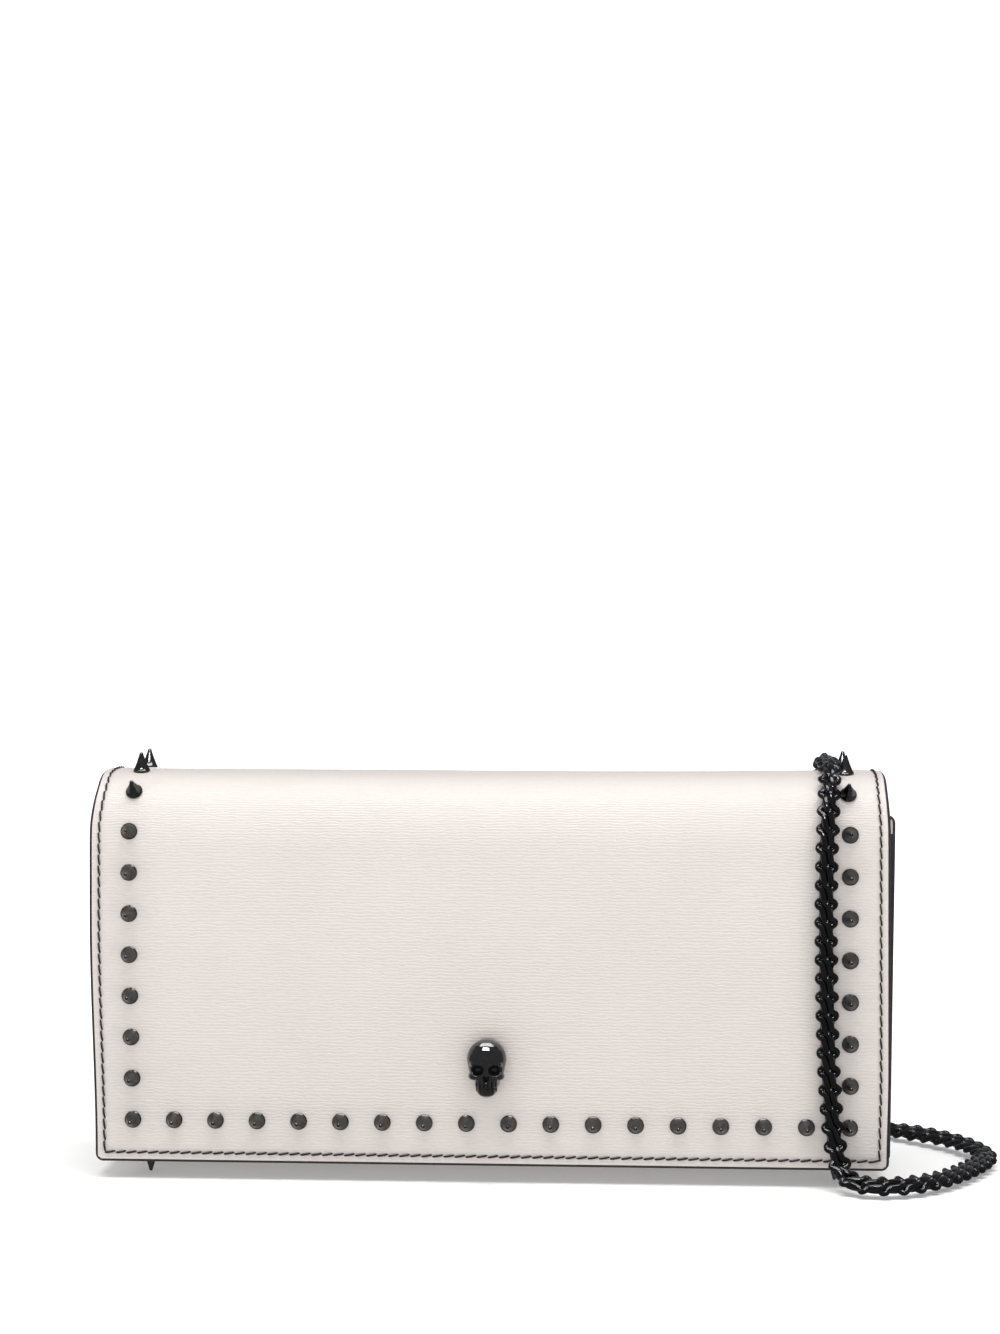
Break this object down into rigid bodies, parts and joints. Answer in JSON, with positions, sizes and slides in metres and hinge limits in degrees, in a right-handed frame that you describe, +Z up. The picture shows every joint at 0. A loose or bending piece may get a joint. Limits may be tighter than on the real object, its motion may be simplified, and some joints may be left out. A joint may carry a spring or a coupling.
{
  "type": "chain wallet",
  "caption": "Slim flap wallet in ivory leather with cone studs, a skull ornament, a zipped pocket and a detachable black chain strap.",
  "frame": {"origin": "centre of the wallet in plan, at the surface its four feet stand on", "axes": "+X along the wallet, the flap faces -Y, +Z up"},
  "size_m": [0.2316, 0.1376, 0.1105],
  "materials": {
    "leather_ivory": "fine-grained ivory calf leather with black painted edges",
    "lining": "thin smooth black lining leather",
    "board": "compressed fibre board",
    "black_metal": "gunmetal black plating, half gloss",
    "black_enamel": "gloss black enamel",
    "black_chain": "gloss black plated chain",
    "steel": "plain steel",
    "zip_tape": "black woven zip tape"
  },
  "bodies": {
    "case": {"front_panel": "leather_ivory", "back_panel": "leather_ivory", "base_panel": "leather_ivory", "gusset_left": "leather_ivory", "gusset_right": "leather_ivory", "front_lining": "lining", "back_lining": "lining", "back_board": "board", "base_board": "board", "pocket_front_wall": "lining", "pocket_back_wall": "lining", "card_pocket_1": "leather_ivory", "card_pocket_2": "leather_ivory", "card_pocket_3": "leather_ivory", "card_pocket_4": "leather_ivory", "zip_tape_front": "zip_tape", "zip_tape_back": "zip_tape", "zip_coil_front": "black_metal", "zip_coil_back": "black_metal", "zip_stops": "black_metal", "snap_socket": "black_metal", "snap_socket_plate": "steel", "foot_studs": "black_metal", "foot_washers": "steel", "ring_tab_left": "leather_ivory", "ring_tab_right": "leather_ivory", "tab_rivets": "black_metal", "chain_over_flap": "black_chain", "chain_floor_loop": "black_chain", "chain_coil": "black_chain", "chain_to_left_ring": "black_chain"},
    "flap": {"flap_leather": "leather_ivory", "flap_lining": "lining", "flap_board": "board", "flap_row_studs": "black_metal", "flap_left_studs": "black_metal", "flap_right_studs": "black_metal", "flap_row_washers": "steel", "flap_left_washers": "steel", "flap_right_washers": "steel", "skull_ornament": "black_enamel", "skull_screws": "steel", "snap_stud": "black_metal", "snap_stud_plate": "steel"},
    "zip_runner": {"zip_slider": "black_metal"},
    "zip_handle": {"zip_pull": "black_metal", "zip_pull_tab": "leather_ivory"},
    "strap_end_left": {"strap_ring_left": "black_metal", "clasp_hook_left": "black_metal", "clasp_pin_left": "black_metal"},
    "strap_end_right": {"strap_ring_right": "black_metal", "clasp_hook_right": "black_metal", "clasp_pin_right": "black_metal"},
    "gate_left": {"clasp_gate_left": "black_metal"},
    "gate_right": {"clasp_gate_right": "black_metal"},
    "eye_left": {"clasp_eye_left": "black_metal"},
    "eye_right": {"clasp_eye_right": "black_metal"}
  },
  "joints": [
    {"name": "flap_hinge", "type": "hinge", "parent": "case", "child": "flap", "pos_m": [0, 0.01745, 0.08985], "axis": [-1, 0, 0], "range_deg": [0, 165], "deforming": ["chain_over_flap", "chain_floor_loop"]},
    {"name": "zip_slide", "type": "slide", "parent": "case", "child": "zip_runner", "axis": [1, 0, 0], "range_m": [0, 0.136]},
    {"name": "zip_pull_swing", "type": "hinge", "parent": "zip_runner", "child": "zip_handle", "pos_m": [-0.068, -0.001, 0.0784], "axis": [0, -1, 0], "range_deg": [0, 175]},
    {"name": "left_ring_swing", "type": "hinge", "parent": "case", "child": "strap_end_left", "pos_m": [-0.084, 0.0202, 0.054], "axis": [1, 0, 0], "range_deg": [0, 60]},
    {"name": "right_ring_swing", "type": "hinge", "parent": "case", "child": "strap_end_right", "pos_m": [0.084, 0.0202, 0.054], "axis": [-1, 0, 0], "range_deg": [0, 60]},
    {"name": "left_gate", "type": "hinge", "parent": "strap_end_left", "child": "gate_left", "pos_m": [-0.084, 0.0258, 0.04366], "axis": [-1, 0, 0], "range_deg": [0, 20], "stiffness_Nm_per_rad": 0.002, "springref_deg": -17.19},
    {"name": "right_gate", "type": "hinge", "parent": "strap_end_right", "child": "gate_right", "pos_m": [0.084, 0.0258, 0.06434], "axis": [1, 0, 0], "range_deg": [0, 20], "stiffness_Nm_per_rad": 0.002, "springref_deg": -17.19},
    {"name": "left_swivel", "type": "hinge", "parent": "strap_end_left", "child": "eye_left", "pos_m": [-0.084, 0.0229, 0.04289], "axis": [0, 0, 1], "continuous": true},
    {"name": "right_swivel", "type": "hinge", "parent": "strap_end_right", "child": "eye_right", "pos_m": [0.084, 0.0229, 0.06511], "axis": [0, 0, 1], "continuous": true}
  ]
}
